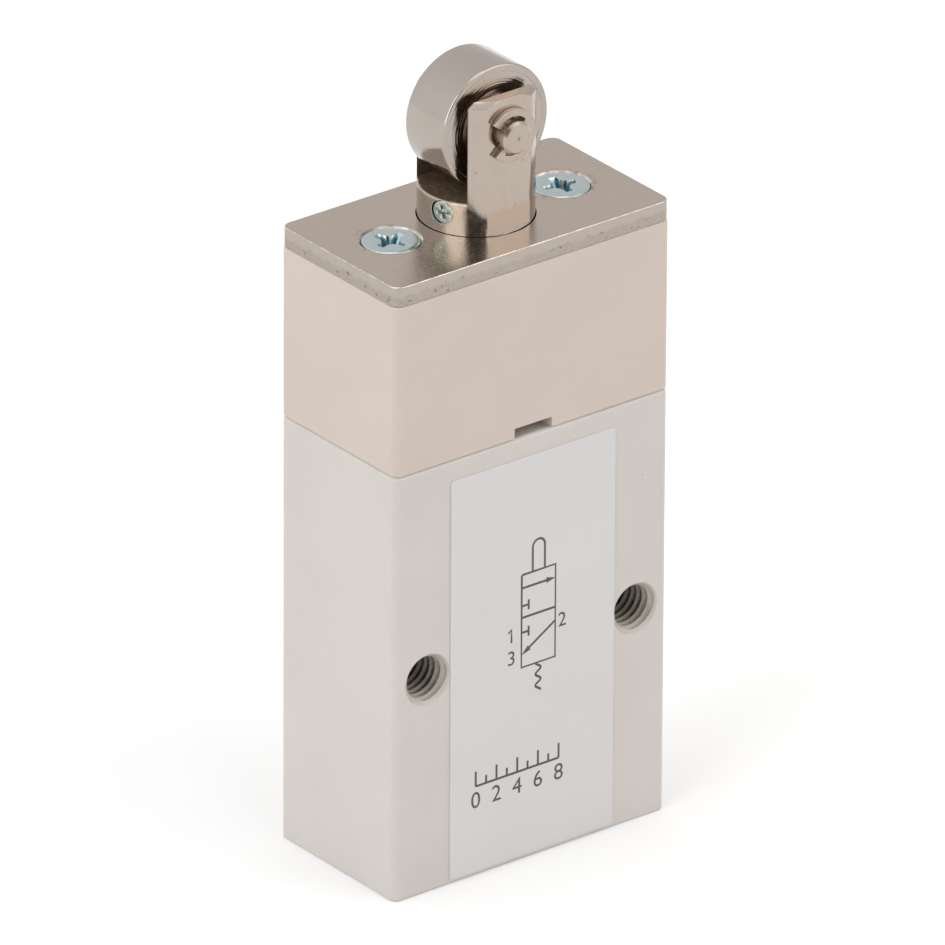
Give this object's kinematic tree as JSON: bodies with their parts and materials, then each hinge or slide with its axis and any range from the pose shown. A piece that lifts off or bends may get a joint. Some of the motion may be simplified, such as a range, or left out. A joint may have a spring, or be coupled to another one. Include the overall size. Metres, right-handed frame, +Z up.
{
  "type": "roller plunger air valve",
  "caption": "Box-shaped air valve worked by a sprung roller plunger on its top plate, with tapped mounting holes through the body and threaded ports in a row at the back.",
  "frame": {"origin": "middle of the underside", "axes": "+Z up along the plunger, +X along the wide faces, -Y out of the labelled front"},
  "size_m": [0.0316, 0.0173, 0.0776],
  "materials": {
    "body_coat": "satin coat",
    "head_plastic": "moulded",
    "plate_nickel": "satin nickel plate",
    "fork_nickel": "bright nickel plate",
    "roller_nickel": "satin nickel plate",
    "screw_zinc": "blue zinc plate",
    "label_film": "printed film",
    "core_steel": "dark phosphate",
    "spring_steel": "drawn wire",
    "bush_bronze": "sintered",
    "spool_alloy": "turned",
    "seal_rubber": "moulded",
    "plug_brass": "turned",
    "clip_steel": "phosphate"
  },
  "bodies": {
    "housing": {"valve_body": "body_coat", "head_housing": "head_plastic", "top_plate": "plate_nickel", "plate_screws": "screw_zinc", "label": "label_film", "plunger_spring": "spring_steel", "spool_spring": "spring_steel", "bottom_plug": "plug_brass", "plug_ring": "seal_rubber", "plug_clip": "clip_steel"},
    "plunger": {"roller_fork": "fork_nickel", "plunger_core": "core_steel", "side_screw": "screw_zinc", "roller_axle": "fork_nickel", "axle_washers": "roller_nickel", "axle_clips": "fork_nickel"},
    "wheel": {"roller": "roller_nickel", "roller_bush": "bush_bronze"},
    "valve_spool": {"spool": "spool_alloy", "spool_rings": "seal_rubber"}
  },
  "joints": [
    {"name": "plunger_slide", "type": "slide", "parent": "housing", "child": "plunger", "axis": [0, 0, -1], "range_m": [0, 0.0032], "stiffness_N_per_m": 1500, "springref_m": -0.004, "deforming": ["plunger_spring"]},
    {"name": "roller_spin", "type": "hinge", "parent": "plunger", "child": "wheel", "pos_m": [0, 0, 0.0716], "axis": [0, 1, 0], "continuous": true},
    {"name": "spool_slide", "type": "slide", "parent": "housing", "child": "valve_spool", "axis": [0, 0, -1], "range_m": [0, 0.0032], "stiffness_N_per_m": 600, "springref_m": -0.003, "deforming": ["spool_spring"]}
  ],
  "couplings": [
    {"joint": "spool_slide", "follows": "plunger_slide", "ratio": 1}
  ]
}
